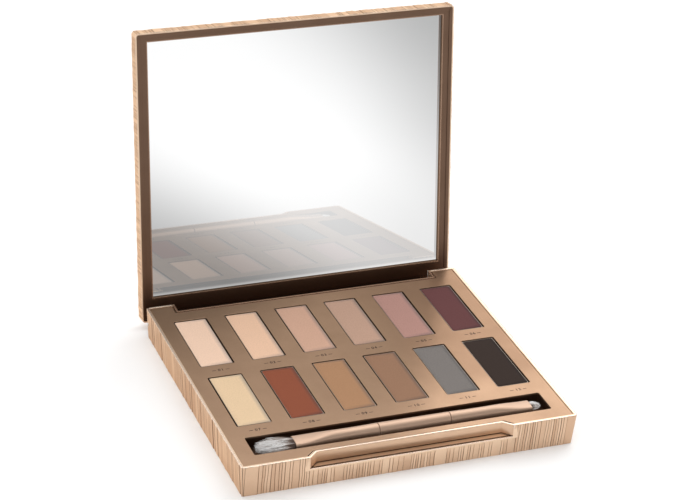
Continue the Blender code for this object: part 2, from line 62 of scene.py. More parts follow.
backward = Vector((
    math.sin(AZIMUTH) * math.cos(ELEVATION), -math.cos(AZIMUTH) * math.cos(ELEVATION), math.sin(ELEVATION)
))
level = Vector((math.cos(AZIMUTH), math.sin(AZIMUTH), 0))
upright = backward.cross(level)
axes = (
    level * math.cos(ROLL) + upright * math.sin(ROLL),
    upright * math.cos(ROLL) - level * math.sin(ROLL),
    backward,
)
camera = bpy.data.objects.new("studio_camera", bpy.data.cameras.new("studio_camera"))
camera.data.lens = LENS
camera.data.clip_start = 0.01
camera.matrix_world = Matrix.Translation(LOOK_AT + backward * DISTANCE) @ Matrix(axes).transposed().to_4x4()
bpy.context.scene.collection.objects.link(camera)
bpy.context.scene.camera = camera
bpy.context.scene.view_settings.view_transform = "Standard"


class Wire:
    """One output of a node. Arithmetic on it adds Math nodes, and node() adds any other kind."""

    def __init__(self, tree, socket=None):
        self.tree, self.socket = tree, socket

    def node(self, kind, settings=None, values=None, output=0):
        """Adds a node: its settings first, then the values or links of its sockets."""
        made = self.tree.nodes.new(kind)
        for name, value in (settings or {}).items():
            if name == "stops":
                ramp = made.color_ramp.elements
                while len(ramp) < len(value):
                    ramp.new(0.5)
                for element, (place, colour) in zip(ramp, value):
                    element.position, element.color = place, (*colour, 1)
            else:
                setattr(made, name, value)
        for name, value in (values or {}).items():
            if isinstance(value, Wire):
                self.tree.links.new(value.socket, made.inputs[name])
            else:
                made.inputs[name].default_value = value
        return Wire(self.tree, made.outputs[output])

    def other(self, output):
        return Wire(self.tree, self.socket.node.outputs[output])

    def math(self, operation, first, second=0.0):
        return self.node("ShaderNodeMath", {"operation": operation}, {0: first, 1: second})

    def __add__(self, other):
        return self.math("ADD", self, other)

    def __sub__(self, other):
        return self.math("SUBTRACT", self, other)

    def __rsub__(self, other):
        return self.math("SUBTRACT", other, self)

    def __mul__(self, other):
        return self.math("MULTIPLY", self, other)

    def __truediv__(self, other):
        return self.math("DIVIDE", self, other)

    def __gt__(self, other):
        return self.math("GREATER_THAN", self, other)

    def __lt__(self, other):
        return self.math("LESS_THAN", self, other)

    def __abs__(self):
        return self.math("ABSOLUTE", self)

    __radd__, __rmul__ = __add__, __mul__

    def clamped(self):
        return self.node("ShaderNodeClamp", {}, {"Value": self})

    def ramp(self, low, high):
        """0 below low, 1 above high and smooth between."""
        return self.node(
            "ShaderNodeMapRange", {"interpolation_type": "SMOOTHSTEP"},
            {"Value": self, "From Min": low, "From Max": high},
        )

    def parts(self):
        """The x, y and z of a vector."""
        x = self.node("ShaderNodeSeparateXYZ", {}, {"Vector": self})
        return x, x.other("Y"), x.other("Z")

    def here(self):
        """The place on the piece, in Object coordinates."""
        return self.node("ShaderNodeTexCoord", output="Object")

    def mark(self, name):
        """A value that the mesh carries at each of its points."""
        return self.node("ShaderNodeAttribute", {"attribute_name": name}, output="Fac")

    def noise(self, scale, detail=2.0, stretch=(1, 1, 1)):
        moved = self.node("ShaderNodeMapping", {}, {"Vector": self.here(), "Scale": stretch})
        return self.node("ShaderNodeTexNoise", {}, {"Vector": moved, "Scale": scale, "Detail": detail})

    def mixed(self, factor, first, second):
        """A colour between two, by factor."""
        ends = [(*end, 1) if isinstance(end, tuple) else end for end in (first, second)]
        return self.node(
            "ShaderNodeMix", {"data_type": "RGBA"}, {0: factor, 6: ends[0], 7: ends[1]}, 2
        )

    def bump(self, height, distance):
        return self.node("ShaderNodeBump", {}, {"Height": height, "Distance": distance})


def new_finish(name, **even):
    """A material: itself, the start of its nodes, and its shader with the values that are even all over."""
    made = bpy.data.materials.new(name)
    made.use_nodes = True
    shader = made.node_tree.nodes["Principled BSDF"]
    for socket, value in even.items():
        shader.inputs[socket.replace("_", " ")].default_value = value
    return made, Wire(made.node_tree), shader


def feed(start, shader, **links):
    for socket, wire in links.items():
        start.tree.links.new(wire.socket, shader.inputs[socket.replace("_", " ")])


def as_object(name, mesh, material=None):
    obj = bpy.data.objects.new(name, mesh)
    bpy.context.scene.collection.objects.link(obj)
    if material:
        mesh.materials.append(material)
    return obj


def softbox(name, place, aim, width, height, power):
    light = bpy.data.lights.new(name, "AREA")
    light.shape, light.size, light.size_y, light.energy = "RECTANGLE", width, height, power
    lamp = bpy.data.objects.new(name, light)
    bpy.context.scene.collection.objects.link(lamp)
    lamp.location = place
    lamp.rotation_euler = (Vector(aim) - Vector(place)).to_track_quat("-Z", "Y").to_euler()


paper, start, shader = new_finish(
    "studio_paper", Roughness=0.9, Emission_Color=(1, 1, 1, 1), Emission_Strength=0.12
)
feed(start, shader, Base_Color=start.mixed(start.noise(40), (0.88, 0.88, 0.88), (0.9, 0.9, 0.9)))
mesh = bpy.data.meshes.new("studio_floor")
corners = [(x * FLOOR_REACH, y * FLOOR_REACH, FLOOR_LEVEL) for x, y in ((-1, -1), (1, -1), (1, 1), (-1, 1))]
mesh.from_pydata(corners, [], [(0, 1, 2, 3)])
as_object("studio_floor", mesh, paper)

world = bpy.data.worlds.new("studio_air")
bpy.context.scene.world = world
world.use_nodes = True
air = Wire(world.node_tree)
toward = air.node("ShaderNodeTexCoord", output="Generated")
nearness = air.node(
    "ShaderNodeVectorMath", {"operation": "DOT_PRODUCT"}, {0: toward, 1: FLAG_TOWARD}, "Value"
)
flag = nearness.ramp(0.77, 0.95) * toward.parts()[2].ramp(0.26, 0.46)
sky = world.node_tree.nodes["Background"]
world.node_tree.links.new(air.mixed(flag, (1.0, 1.0, 1.0), (0.02, 0.02, 0.02)).socket, sky.inputs["Color"])
sky.inputs["Strength"].default_value = 1.12
softbox("studio_key", (0.9, 0.9, 1.3), (0, 0, 0.05), 1.2, 1.2, 7)
softbox("studio_overhead", (0.1, -0.1, 1.3), (0, 0, 0), 0.9, 0.5, 2)


# Base shell: one tray-like moulding of plastic, vacuum metallised in rose gold under a satin lacquer.
# The finish is a little mottled and rougher where it has been handled.
GOLD = (0.88, 0.66, 0.475)
GOLD_SHADE = (0.62, 0.415, 0.28)
# A light gold for painted highlights on plank ends and rims.
PAINTED_HIGHLIGHT = (0.95, 0.79, 0.66)
LACQUER_EDGE = (0.88, 0.70, 0.54, 1)


def metallised(name, light, dark, roughness, grain):
    """Lacquered metallised plastic, finely grained and faintly mottled. Planks vary its tone; their seams
    take painted shade and their ends a painted highlight.
    """
    made, start, shader = new_finish(name, Metallic=0.82, Specular_Tint=LACQUER_EDGE)
    mottle, speck = start.noise(60, 3), start.noise(2600, 2)
    worn = (mottle * 0.7 + speck * 0.3 + start.mark("tone") * 0.7 - 0.2).clamped()
    face = start.mixed(worn, light, dark)
    # Painted shade in the seams and chamfers between planks.
    face = start.mixed(start.mark("groove") * 0.8, face, (0.20 * dark[0], 0.13 * dark[1], 0.11 * dark[2]))
    feed(
        start, shader,
        # A painted highlight at the ends of the planks.
        Base_Color=start.mixed(start.mark("crest") * 0.75, face, PAINTED_HIGHLIGHT),
        Roughness=mottle * 0.12 + speck * 0.08 + (roughness - 0.1),
        Normal=start.bump(speck, grain),
    )
    return made


def refinish(material, *nodes):
    for node in nodes:
        for material_slot in frame["nodes"][node].material_slots:
            material_slot.material = material


gold = metallised("case_metallised", GOLD, GOLD_SHADE, 0.34, 0.02 * MM)
refinish(gold, "base_shell")


# Planks: the outside of the case is moulded as a fence of narrow planks of many widths, each standing
# proud by its own small amount and a little askew, with a fine seam between neighbours.
CASE_WIDTH, CASE_DEPTH, CORNER_RADIUS = 175 * MM, 157 * MM, 1.6 * MM
BASE_HEIGHT, SIDE_DRAFT = 17 * MM, 1.3 * MM
CHAMFER, SEAM, RISE = 0.16 * MM, 0.07 * MM, 0.22 * MM
FRONT, BACK = -CASE_DEPTH / 2, CASE_DEPTH / 2
NOTCH_WIDTH, NOTCH_DEPTH, NOTCH_HEIGHT, NOTCH_SLANT = 106 * MM, 4.2 * MM, 6.4 * MM, 4.5 * MM
RECESS_HALF, RECESS_FRONT, RECESS_FLOOR = 72.2 * MM, BACK - 7 * MM, 5.91 * MM
HINGE_Y, HINGE_Z, PIN_BORE = BACK - 2.5 * MM, 8.5 * MM, 1.05 * MM
CUT_CLEAR, CUT_PAST, CUT_TOP = 0.02 * MM, 2 * MM, BASE_HEIGHT + 3 * MM


def geometry_tree(name, inputs):
    """A geometry tree with named inputs and one output: itself, and the start of its nodes."""
    tree = bpy.data.node_groups.new(name, "GeometryNodeTree")
    tree.interface.new_socket("Geometry", in_out="OUTPUT", socket_type="NodeSocketGeometry")
    for title, kind in inputs.items():
        tree.interface.new_socket(title, in_out="INPUT", socket_type=f"NodeSocket{kind}")
    return tree, Wire(tree).node("NodeGroupInput")


def chance(given, step, low=0.0, high=1.0):
    """A random number for each point."""
    index = given.node("GeometryNodeInputIndex")
    return given.node(
        "FunctionNodeRandomValue", {"data_type": "FLOAT"},
        {2: low, 3: high, "ID": index, "Seed": given.other("Seed") + step}, 1
    )


def kept(geometry, **values):
    """Geometry whose points carry named values."""
    for name, value in values.items():
        geometry = geometry.node(
            "GeometryNodeStoreNamedAttribute", {"data_type": "FLOAT", "domain": "POINT"},
            {"Geometry": geometry, "Name": name, "Value": value}
        )
    return geometry


def own(given, name, kind="FLOAT"):
    """A named value of each point."""
    return given.node("GeometryNodeInputNamedAttribute", {"data_type": kind}, {"Name": name})


def copies(points, blank):
    """A copy of the blank at each point, made real, carrying the point's values."""
    laid = points.node("GeometryNodeInstanceOnPoints", {}, {"Points": points, "Instance": blank})
    return points.node("GeometryNodeRealizeInstances", {}, {"Geometry": laid})


def close_tree(given, solid, place, smooth):
    """Moves a solid's points to their place, shades and paints it, and sends it out of the tree."""
    moved = given.node("GeometryNodeSetPosition", {}, {"Geometry": solid, "Position": place})
    shaded = given.node("GeometryNodeSetShadeSmooth", {}, {"Geometry": moved, "Shade Smooth": smooth})
    paint = {"Geometry": shaded, "Material": given.other("Material")}
    painted = given.node("GeometryNodeSetMaterial", {}, paint)
    given.tree.links.new(painted.socket, given.tree.nodes.new("NodeGroupOutput").inputs["Geometry"])


def plank_tree():
    """Planks side by side along a path, each following a rail in its own plane across the path."""
    tree, given = geometry_tree("planks", {
        "Path": "Geometry", "Rail": "Object", "Count": "Int", "Narrowest": "Float", "Widest": "Float",
        "Seam": "Float", "Chamfer": "Float", "Rise": "Float", "Least Rise": "Float", "Inside": "Float",
        "Waver": "Float", "Seed": "Int", "Material": "Material",
    })
    rail = given.node("GeometryNodeObjectInfo", {}, {"Object": given.other("Rail")}, "Geometry")
    path = given.node("GeometryNodeMeshToCurve", {}, {"Mesh": given.other("Path")})
    length = given.node("GeometryNodeCurveLength", {}, {"Curve": path})
    rows = given.node("GeometryNodeAttributeDomainSize", {}, {"Geometry": rail}, "Point Count")
    seed, chamfer = given.other("Seed"), given.other("Chamfer")

    # Widths come in crowds of narrow planks with wide ones between, and add up to the path's length.
    grouping = given.node("GeometryNodeInputIndex") * 0.35 + seed
    crowd = given.node(
        "ShaderNodeTexNoise", {"noise_dimensions": "1D"}, {"W": grouping, "Scale": 1.0, "Detail": 0.0}
    )
    share = chance(given, 1) * chance(given, 2) * crowd.ramp(0.3, 0.7)
    narrowest = given.other("Narrowest")
    raw = narrowest + (given.other("Widest") - narrowest) * share
    running = given.node("GeometryNodeAccumulateField", {"data_type": "FLOAT"}, {0: raw}, "Trailing")
    fit = length / running.other("Total")
    points = kept(
        given.node("GeometryNodePoints", {}, {"Count": given.other("Count")}),
        width=raw * fit, start=running * fit, tone=chance(given, 3), lean=chance(given, 4, -1.0, 1.0),
        rise=given.other("Least Rise") + given.other("Rise") * chance(given, 5),
    )
    blank = given.node(
        "GeometryNodeMeshCube", {}, {"Size": (1, 1, 1), "Vertices X": 7, "Vertices Y": 2, "Vertices Z": rows}
    )
    solid = copies(points, blank)

    # A face across a plank is flat between two chamfers, and leans.
    x, y, z = given.node("GeometryNodeInputPosition").parts()
    width, outward = own(given, "width"), abs(x) * 3.0
    shoulder = width * 0.5 - given.other("Seam") * 0.5 - chamfer
    past = (outward - 1.0).clamped() * 2.0
    across = x.math("SIGN", x) * (outward.math("MINIMUM", outward, 1.0) * shoulder + past * chamfer)
    front = y > 0.0
    depth = own(given, "rise") + across * own(given, "lean") * 0.06 - past * chamfer
    row = z.math("ROUND", (z + 0.5) * (rows - 1.0))
    # Marks for painting: shade on the chamfers and seams, and a highlight on the end rows of each face.
    solid = kept(solid, groove=past, crest=(abs(row * 2.0 - rows + 1.0) > rows - 1.5) * front)

    def on_rail(value):
        return given.node(
            "GeometryNodeSampleIndex", {"data_type": "FLOAT_VECTOR"},
            {"Geometry": rail, "Value": value, "Index": row}
        )

    def vector(operation, first, second=(0, 0, 0), scale=1.0):
        values = {0: first, 1: second, 3: scale}
        return given.node("ShaderNodeVectorMath", {"operation": operation}, values)

    # Its points go from the blank to the path, a little wavering, and stand off the rail there.
    rail_place = on_rail(given.node("GeometryNodeInputPosition"))
    rail_stand = on_rail(own(given, "stand", "FLOAT_VECTOR"))
    along = own(given, "start") + width * 0.5 + across
    drift = given.node("ShaderNodeCombineXYZ", {}, {"X": along * 120.0, "Z": seed})
    drift = vector("ADD", drift, vector("SCALE", rail_place, scale=60.0))
    shift = given.node("ShaderNodeTexNoise", {}, {"Vector": drift, "Scale": 1.0, "Detail": 1.0}) - 0.5
    along = along + shift * given.other("Waver")
    stood = front * depth - (1.0 - front) * given.other("Inside")
    _, inward, up = vector("ADD", rail_place, vector("SCALE", rail_stand, scale=stood)).parts()
    spot = given.node(
        "GeometryNodeSampleCurve", {"mode": "LENGTH", "use_all_curves": True},
        {"Curves": path, "Length": along}, "Position"
    )
    sideways = vector("CROSS_PRODUCT", (0, 0, 1), spot.other("Tangent"))
    place = vector("ADD", spot, vector("SCALE", sideways, scale=inward))
    place = vector("ADD", place, given.node("ShaderNodeCombineXYZ", {}, {"Z": up}))
    close_tree(given, solid, place, False)
    return tree


def rounded_rectangle(width, depth, radius, steps=6):
    """Corners of the outline, front side first, anticlockwise from above."""
    points = []
    for quarter, (sx, sy) in enumerate(((-1, -1), (1, -1), (1, 1), (-1, 1))):
        for step in range(steps + 1):
            turn = math.pi / 2 * (quarter + 2 + step / steps)
            points.append((
                sx * (width / 2 - radius) + radius * math.cos(turn),
                sy * (depth / 2 - radius) + radius * math.sin(turn),
            ))
    return points


def wire_mesh(name, points, closed=False):
    mesh = bpy.data.meshes.new(name)
    edges = [(step, step + 1) for step in range(len(points) - 1)]
    if closed:
        edges.append((len(points) - 1, 0))
    mesh.from_pydata([(*point, 0) if len(point) == 2 else point for point in points], edges, [])
    return mesh


def rail_object(name, points, stands):
    """The line that each plank follows, with y inward from the path. A stand is how its face stands off."""
    mesh = wire_mesh(name, [(0, *point) for point in points])
    stand = mesh.attributes.new("stand", "FLOAT_VECTOR", "POINT")
    stand.data.foreach_set("vector", [part for y, z in stands for part in (0, y, z)])
    return as_object(name, mesh)


def plain_mesh(obj):
    """The mesh of an object with its modifiers applied."""
    bpy.context.view_layer.update()
    return bpy.data.meshes.new_from_object(obj.evaluated_get(bpy.context.evaluated_depsgraph_get()))


def grown(name, guide, tree, values):
    """Runs a geometry tree on a guide mesh and returns its plain mesh."""
    holder = as_object(name, guide)
    modifier = holder.modifiers.new(name, "NODES")
    modifier.node_group = tree
    sockets = {item.name: item.identifier for item in tree.interface.items_tree if item.in_out == "INPUT"}
    for title, value in values.items():
        modifier[sockets[title]] = value
    mesh = plain_mesh(holder)
    bpy.data.objects.remove(holder)
    mesh.name = name
    return as_object(name, mesh)


def make_planks(name, path, rail, **sizes):
    values = {"Rail": rail, "Material": gold, "Seam": SEAM, "Chamfer": CHAMFER, "Rise": RISE}
    values.update({title.replace("_", " "): value for title, value in sizes.items()})
    fence = grown(name, path, planks, values)
    bpy.data.objects.remove(rail)
    return fence


def carve(obj, cutter, operation="DIFFERENCE"):
    """Cuts obj by another object, which is then removed."""
    modifier = obj.modifiers.new("carve", "BOOLEAN")
    modifier.operation, modifier.object = operation, cutter
    mesh = plain_mesh(obj)
    obj.modifiers.clear()
    obj.data = mesh
    bpy.data.objects.remove(cutter)


def finished(name, bm, material=None, crease=None):
    """The object of a bmesh, its faces outwards. It is smooth up to a crease angle in degrees, or flat."""
    bmesh.ops.recalc_face_normals(bm, faces=bm.faces)
    mesh = bpy.data.meshes.new(name)
    bm.to_mesh(mesh)
    bm.free()
    if crease:
        mesh.shade_smooth()
        mesh.set_sharp_from_angle(angle=math.radians(crease))
    return as_object(name, mesh, material)


def prism(name, outline, low, high, material=None):
    """A closed upright block on an outline."""
    bm = bmesh.new()
    bottom = bm.faces.new([bm.verts.new((x, y, low)) for x, y in outline])
    top = bmesh.ops.extrude_face_region(bm, geom=[bottom])["geom"]
    for corner in top:
        if isinstance(corner, bmesh.types.BMVert):
            corner.co.z = high
    bm.normal_update()
    return finished(name, bm, material)


def notch_corners(grow):
    """The thumb notch in plan, from its left end at the front wall: grow widens and deepens it."""
    outer, depth = NOTCH_WIDTH / 2 + grow, NOTCH_DEPTH + grow
    narrow, wide = outer - NOTCH_SLANT, outer - NOTCH_SLANT + NOTCH_SLANT / NOTCH_DEPTH * depth
    return [(-wide, FRONT), (-narrow, FRONT + depth), (narrow, FRONT + depth), (wide, FRONT)]


def on_base(piece):
    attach(piece, "base")


planks = plank_tree()
loop = rounded_rectangle(CASE_WIDTH, CASE_DEPTH, CORNER_RADIUS)
half = len(loop) // 2
quarter = half // 2
rail = rail_object(
    "base_plank_rail",
    [
        *[
            (SIDE_DRAFT * (1 - z / BASE_HEIGHT), z)
            for z in (0, CHAMFER, BASE_HEIGHT * 0.33, BASE_HEIGHT * 0.66)
        ],
        (0, BASE_HEIGHT - CHAMFER), (0, BASE_HEIGHT + 0.02 * MM),
    ],
    [(-0.2, 0), *[(-1, 0)] * 4, (-0.3, 0)],
)
base_planks = make_planks(
    "base_planks", wire_mesh("base_path", loop, closed=True), rail,
    Count=330, Narrowest=0.75 * MM, Widest=4.2 * MM, Least_Rise=0.16 * MM, Inside=0.6 * MM, Waver=1.2 * MM,
    Seed=7,
)
ends = notch_corners(CUT_CLEAR)
mouth = ends[3][0] + CUT_PAST * NOTCH_SLANT / NOTCH_DEPTH
carve(base_planks, prism(
    "notch_cut", [(-mouth, FRONT - CUT_PAST), (mouth, FRONT - CUT_PAST), ends[2], ends[1]],
    BASE_HEIGHT - NOTCH_HEIGHT - CUT_CLEAR, CUT_TOP,
))
recess = [
    (RECESS_HALF, BACK), (RECESS_HALF, RECESS_FRONT), (-RECESS_HALF, RECESS_FRONT), (-RECESS_HALF, BACK)
]
carve(base_planks, prism(
    "recess_cut", [(x * 1.0003, y + CUT_PAST * (y == BACK)) for x, y in recess],
    RECESS_FLOOR - CUT_CLEAR, CUT_TOP,
))
turns = [math.tau * step / 24 for step in range(24)]
radius = PIN_BORE + CUT_CLEAR
bore = prism("bore_cut", [(radius * math.cos(turn), radius * math.sin(turn)) for turn in turns], -0.1, 0.1)
bore.data.transform(Matrix.Translation((0, HINGE_Y, HINGE_Z)) @ Matrix.Rotation(math.pi / 2, 4, "Y"))
carve(base_planks, bore)
on_base(base_planks)


# Lid planks: on the lid the planks run from the front edge over the top and down the back edge, and
# short ones close its two sides. They open with the lid.
LID_LOW, LID_TOP, LID_EDGE = 17.4 * MM, 24.8 * MM, 0.8 * MM
LID_TRIM = 0.5 * MM
EDGE_STEPS, TOP_STEPS = 4, 12
hinge = next(joint for joint in frame["joints"] if joint["name"] == "lid_hinge")
axle = Matrix.Translation(hinge["pos_m"])
opened = axle @ Matrix.Rotation(-math.radians(max(hinge["range_deg"])), 4, hinge["axis"]) @ axle.inverted()


def open_with_lid(piece):
    """Turns a piece that is made closed to where the open lid holds it."""
    piece.data.transform(opened)
    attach(piece, "lid")


def edge_turn(sign, centre):
    """Rail points and stands round one rounded edge of the lid, from its wall to its top or back."""
    turns = [math.pi / 2 * step / EDGE_STEPS for step in range(EDGE_STEPS + 1)]
    points = [
        (centre + sign * LID_EDGE * math.cos(turn), LID_TOP - LID_EDGE + LID_EDGE * math.sin(turn))
        for turn in turns
    ]
    return points, [(sign * math.cos(turn), math.sin(turn)) for turn in turns]


foot, foot_stands = [(0, LID_LOW), (0, LID_LOW + CHAMFER)], [(-0.3, 0), (-1, 0)]
rise, rise_stands = edge_turn(-1, LID_EDGE)
fall, fall_stands = edge_turn(1, CASE_DEPTH - LID_EDGE)
top = [(LID_EDGE + (CASE_DEPTH - 2 * LID_EDGE) * step / TOP_STEPS, LID_TOP) for step in range(1, TOP_STEPS)]
rail = rail_object(
    "cover_rail",
    [*foot, *rise, *top, *fall[::-1], (CASE_DEPTH, LID_LOW + CHAMFER), (CASE_DEPTH, LID_LOW)],
    [*foot_stands, *rise_stands, *[(0, 1)] * len(top), *fall_stands[::-1], (1, 0), (0.3, 0)],
)
edge = CASE_WIDTH / 2 - LID_EDGE
lid_planks = make_planks(
    "lid_planks", wire_mesh("cover_path", [(-edge, FRONT), (edge, FRONT)]), rail,
    Count=92, Narrowest=0.65 * MM, Widest=4.8 * MM, Least_Rise=0.14 * MM, Inside=0.5 * MM, Waver=1.6 * MM,
    Seed=23,
)
outline = rounded_rectangle(CASE_WIDTH + 2 * LID_TRIM, CASE_DEPTH + 2 * LID_TRIM, CORNER_RADIUS + LID_TRIM)
carve(lid_planks, prism("lid_outline", outline, LID_LOW - CUT_PAST, LID_TOP + CUT_PAST), "INTERSECT")
open_with_lid(lid_planks)
for name, side, seed in (
    ("right", loop[quarter:quarter + half], 31), ("left", loop[quarter + half:] + loop[:quarter], 47)
):
    rail = rail_object("side_rail", [*foot, *rise], [*foot_stands, *rise_stands[:-1], (0, 0.5)])
    fence = make_planks(
        f"lid_side_planks_{name}", wire_mesh("side_path", side), rail,
        Count=84, Narrowest=0.65 * MM, Widest=4.8 * MM, Least_Rise=0.14 * MM, Inside=0.5 * MM, Waver=0.8 * MM,
        Seed=seed,
    )
    open_with_lid(fence)


# Rims: the smooth edges of the two shells. The base's is a lighter gold, a painted highlight, and runs round
# the thumb notch and the hinge recess as well, where it is darker with painted shade; the lid's is a fine
# line round its frame.
RIM_WIDTH, LID_RIM_WIDTH, RIM_LIFT, RIM_DEPTH, RIM_ROUND = 0.96 * MM, 0.48 * MM, 0.05 * MM, 0.6 * MM, 0.2 * MM
RIM_INSET = 0.02 * MM


def tinted(finish, colour, mask):
    """Mixes a colour into a finish, as far as a mask of the place on the piece says."""
    start, shader = Wire(finish.node_tree), finish.node_tree.nodes["Principled BSDF"]
    plain = Wire(finish.node_tree, shader.inputs["Base Color"].links[0].from_socket)
    feed(start, shader, Base_Color=start.mixed(mask(*start.here().parts()), plain, colour))
    return finish


def skin(bm, rings):
    """Faces between neighbouring rings of as many points."""
    for ring, following in zip(rings, rings[1:]):
        for step in range(len(ring)):
            after = (step + 1) % len(ring)
            bm.faces.new((ring[step], ring[after], following[after], following[step]))


def swept(name, path, section, material, closed=True):
    """A solid whose section, as (outward, height) points, follows a flat path with mitred corners."""
    bm = bmesh.new()
    rings = []
    for step, spot in enumerate(path):
        before = path[step - 1] if closed or step else None
        after = path[(step + 1) % len(path)] if closed or step < len(path) - 1 else None
        legs = [Vector(b) - Vector(a) for a, b in ((before, spot), (spot, after)) if a and b]
        sides = [Vector((leg.y, -leg.x)).normalized() for leg in legs]
        mitre = (sides[0] + sides[-1]) / (1 + sides[0].dot(sides[-1]))
        rings.append([
            bm.verts.new((spot[0] + mitre.x * out, spot[1] + mitre.y * out, z)) for out, z in section
        ])
    skin(bm, rings + rings[:1] if closed else rings)
    if not closed:
        bm.faces.new(rings[0])
        bm.faces.new(rings[-1])
    return finished(name, bm, material, 50)


def rounded_bar(low, high, bottom, top, radius):
    """A section with four rounded corners, from low to high across and bottom to top in height."""
    return [
        (x + (low + high) / 2, z + (bottom + top) / 2)
        for x, z in rounded_rectangle(high - low, top - bottom, radius, 3)
    ]


# The base rim is a lighter copy of the case finish: a painted highlight.
rim_gold = tinted(
    metallised("rim_painted_highlight", PAINTED_HIGHLIGHT, (0.86, 0.66, 0.52), 0.24, 0.01 * MM), (0.36, 0.22, 0.15),
    # Darker along the hinge recess: painted shade.
    lambda x, y, z:
        (y > RECESS_FRONT - 2 * MM) * (abs(x) < RECESS_HALF + 1.8 * MM) * (z < BASE_HEIGHT + 1 * MM),
)
notch = notch_corners(0)
base_rim = swept(
    "base_rim", loop[:quarter] + notch + loop[quarter:3 * quarter] + recess + loop[3 * quarter:],
    rounded_bar(-RIM_WIDTH, -RIM_INSET, BASE_HEIGHT - RIM_DEPTH, BASE_HEIGHT + RIM_LIFT, RIM_ROUND), rim_gold,
)
on_base(base_rim)
lid_rim = swept(
    "lid_rim", loop,
    rounded_bar(-LID_RIM_WIDTH, -RIM_INSET, LID_LOW - RIM_LIFT, LID_LOW + RIM_DEPTH, RIM_ROUND), gold,
)
open_with_lid(lid_rim)


# Thumb notch: a smooth panel lines its inner wall, and a smooth ledge and a bright sill its floor; the sill's
# brightness is a painted highlight. Two fine dark strips are painted shadow, one in the joint under the panel
# and one in the joint behind the sill.
LEDGE = BASE_HEIGHT - NOTCH_HEIGHT
PANEL_FOOT, LEDGE_SETBACK = 0.35 * MM, 0.8 * MM
notch_gold = metallised("notch_metallised", (0.70, 0.48, 0.33), (0.50, 0.32, 0.21), 0.34, 0.02 * MM)
shadow = metallised("joint_shadow", (0.10, 0.055, 0.035), (0.07, 0.035, 0.022), 0.5, 0.01 * MM)
left, right = notch[0][0], notch[3][0]
# The two dark strips use the painted shadow finish.
for name, path, section, finish in (
    ("notch_panel", notch,
     rounded_bar(-0.2 * MM, 0.3 * MM, LEDGE + PANEL_FOOT, BASE_HEIGHT - 0.3 * MM, 0.15 * MM), notch_gold),
    ("notch_joint", notch,
     rounded_bar(0.1 * MM, 0.36 * MM, LEDGE + 0.2 * MM, LEDGE + 0.62 * MM, 0.1 * MM), shadow),
    ("notch_line", [(left + 0.9 * MM, FRONT), (right - 0.9 * MM, FRONT)],
     rounded_bar(-1.0 * MM, -0.4 * MM, LEDGE + 0.05 * MM, LEDGE + 0.26 * MM, 0.05 * MM), shadow),
):
    on_base(swept(name, path, section, finish, closed=False))
ledge_corners = [
    (x * 0.985, y + setback)
    for (x, y), setback in zip(notch_corners(-0.3 * MM - PANEL_FOOT), (LEDGE_SETBACK, 0, 0, LEDGE_SETBACK))
]
on_base(prism("notch_ledge", ledge_corners, LEDGE - 0.1 * MM, LEDGE + 0.22 * MM, gold))
notch_sill = swept(
    "notch_sill", [(left + 0.2 * MM, FRONT), (right - 0.2 * MM, FRONT)],
    rounded_bar(-0.45 * MM, 0.3 * MM, LEDGE - 0.3 * MM, LEDGE + 0.1 * MM, 0.12 * MM), rim_gold, closed=False,
)
on_base(notch_sill)


# Tray: a satin plate with rounded openings for twelve pans and the brush, moulded in the same plastic and
# metallised in a deeper tone, darker still behind on the right with painted shade. The wells and the trough
# are dark inside, also painted shade.
TRAY_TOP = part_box("inner_tray")[1][2]
PLATE_SKIN, PLATE_LIFT, PLATE_ROUND, TRAY_EDGE = 0.7 * MM, 0.04 * MM, 0.15 * MM, 1.6 * MM
PAN_PITCH, PAN_ROOM, PAN_CORNER = 27.617 * MM, 1.2 * MM, 0.9 * MM
TROUGH_LENGTH, TROUGH_WIDTH, TROUGH_Y, TROUGH_CORNER = 155.6 * MM, 15.7 * MM, -61.15 * MM, 0.8 * MM
HOLE_TRIM = 0.06 * MM
PAINTED_WELL_SHADE = (0.10, 0.055, 0.035)
tray_gold = metallised("tray_satin", (0.46, 0.30, 0.20), (0.285, 0.177, 0.113), 0.33, 0.03 * MM)
# Darker behind on the right: painted shade.
tinted(
    tray_gold, (0.24, 0.14, 0.09),
    lambda x, y, z: x.ramp(0.0, 60 * MM) * y.ramp(-50 * MM, -20 * MM) * 0.5,
)
# Dark below the top of the tray, on the walls of the wells and trough: painted shade.
tinted(tray_gold, PAINTED_WELL_SHADE, lambda x, y, z: 1.0 - z.ramp(TRAY_TOP - 1.4 * MM, TRAY_TOP - 0.2 * MM))
refinish(tray_gold, "inner_tray")


def flat_plate(name, outlines, low, high, edge, material):
    """A plate with rounded edges, from an outline and the outlines of its holes."""
    curve = bpy.data.curves.new(name, "CURVE")
    curve.dimensions, curve.fill_mode, curve.bevel_resolution = "2D", "BOTH", 1
    curve.extrude, curve.bevel_depth, curve.offset = (high - low) / 2 - edge, edge, -edge
    for outline in outlines:
        spline = curve.splines.new("POLY")
        spline.points.add(len(outline) - 1)
        for point, (x, y) in zip(spline.points, outline):
            point.co = (x, y, 0, 1)
        spline.use_cyclic_u = True
    guide = as_object(name, curve)
    bm = bmesh.new()
    bm.from_mesh(plain_mesh(guide))
    bpy.data.objects.remove(guide)
    bmesh.ops.remove_doubles(bm, verts=bm.verts, dist=1e-6)
    bmesh.ops.translate(bm, vec=(0, 0, (low + high) / 2), verts=bm.verts)
    return finished(name, bm, material)


def hole(x, y, width, length, corner):
    outline = rounded_rectangle(width - HOLE_TRIM, length - HOLE_TRIM, corner)
    return [(px + x, py + y) for px, py in outline]


